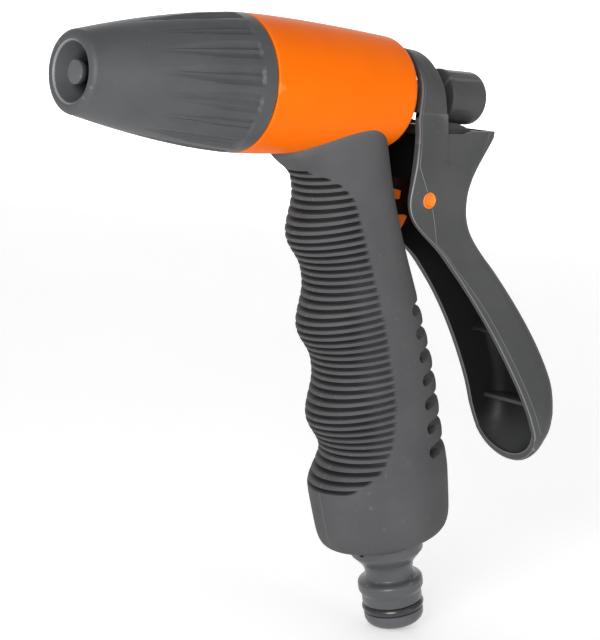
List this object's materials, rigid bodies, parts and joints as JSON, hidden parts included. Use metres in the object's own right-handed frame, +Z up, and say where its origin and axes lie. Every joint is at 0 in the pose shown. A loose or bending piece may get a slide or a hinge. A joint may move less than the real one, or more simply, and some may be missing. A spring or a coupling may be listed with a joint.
{
  "type": "hose spray nozzle",
  "caption": "Pistol-grip garden hose spray nozzle with a rear palm lever, twist spray head, flow-adjusting knob and plug-in hose inlet",
  "frame": {"origin": "centre of the inlet's latch collar, on the inlet's axis, which is the lower end of the handle's axis", "axes": "+X forward along the spray axis, +Z up, Y across; the handle leans back by fifteen degrees, so the inlet's axis runs down and back from the origin"},
  "size_m": [0.1603, 0.0338, 0.1586],
  "materials": {
    "body_orange": "moulded orange ABS, smooth with a light gloss",
    "grip_rubber": "soft over-moulded rubber, matt with fine ribs",
    "tube_plastic": "moulded acetal, matt",
    "pin_plastic": "moulded acetal, light gloss",
    "nozzle_plastic": "moulded plastic, fine matt grain",
    "ring_rubber": "nitrile rubber",
    "seat_steel": "turned stainless steel",
    "washer_rubber": "nitrile rubber",
    "plug_plastic": "moulded acetal, matt",
    "screw_steel": "plain stainless steel",
    "stem_brass": "drawn brass rod",
    "spring_steel": "stainless spring wire",
    "shim_steel": "stamped stainless steel",
    "nut_brass": "turned brass",
    "lever_plastic": "glass-filled nylon, matt",
    "pivot_orange": "moulded orange plastic, smooth",
    "knob_plastic": "moulded plastic, fine matt grain",
    "inlet_plastic": "moulded acetal, fine matt grain"
  },
  "bodies": {
    "housing": {"body": "body_orange", "grip_sleeve": "grip_rubber", "front_tube": "tube_plastic", "jet_pin": "pin_plastic", "valve_seat": "seat_steel", "spring_washer": "shim_steel", "gland_o_ring": "ring_rubber", "gland_nut": "nut_brass", "pivot_pin": "pivot_orange", "inlet_connector": "inlet_plastic", "inlet_seal": "ring_rubber", "inlet_o_ring": "ring_rubber", "valve_spring": "spring_steel"},
    "nozzle_ring": {"nozzle_o_ring": "ring_rubber"},
    "spray_head": {"spray_nozzle": "nozzle_plastic"},
    "hand_lever": {"lever": "lever_plastic"},
    "valve": {"valve_stem": "stem_brass", "valve_plug": "plug_plastic", "valve_washer": "washer_rubber", "plug_screw": "screw_steel"},
    "knob_carrier": {"knob_washer": "shim_steel"},
    "knob": {"adjusting_knob": "knob_plastic"}
  },
  "joints": [
    {"name": "lever_squeeze", "type": "hinge", "parent": "housing", "child": "hand_lever", "pos_m": [0.00908, 0, 0.10323], "axis": [0, -1, 0], "range_deg": [0, 14], "stiffness_Nm_per_rad": 0.6, "springref_deg": -2.01},
    {"name": "valve_travel", "type": "slide", "parent": "housing", "child": "valve", "axis": [-1, 0, 0], "range_m": [0, 0.0065], "deforming": ["valve_spring"]},
    {"name": "knob_travel", "type": "slide", "parent": "valve", "child": "knob_carrier", "axis": [-1, 0, 0], "range_m": [0, 0.003]},
    {"name": "knob_twist", "type": "hinge", "parent": "knob_carrier", "child": "knob", "pos_m": [-0.00632, 0, 0.12943], "axis": [-1, 0, 0], "range_deg": [0, 1080]},
    {"name": "nozzle_travel", "type": "slide", "parent": "housing", "child": "nozzle_ring", "axis": [1, 0, 0], "range_m": [0, 0.004]},
    {"name": "nozzle_twist", "type": "hinge", "parent": "nozzle_ring", "child": "spray_head", "pos_m": [0.08968, 0, 0.12943], "axis": [1, 0, 0], "range_deg": [0, 576]}
  ],
  "couplings": [
    {"joint": "valve_travel", "follows": "lever_squeeze", "m_per_rad": 0.0262},
    {"joint": "knob_travel", "follows": "knob_twist", "m_per_rad": 0.00015756},
    {"joint": "nozzle_travel", "follows": "nozzle_twist", "m_per_rad": 0.0003959}
  ]
}
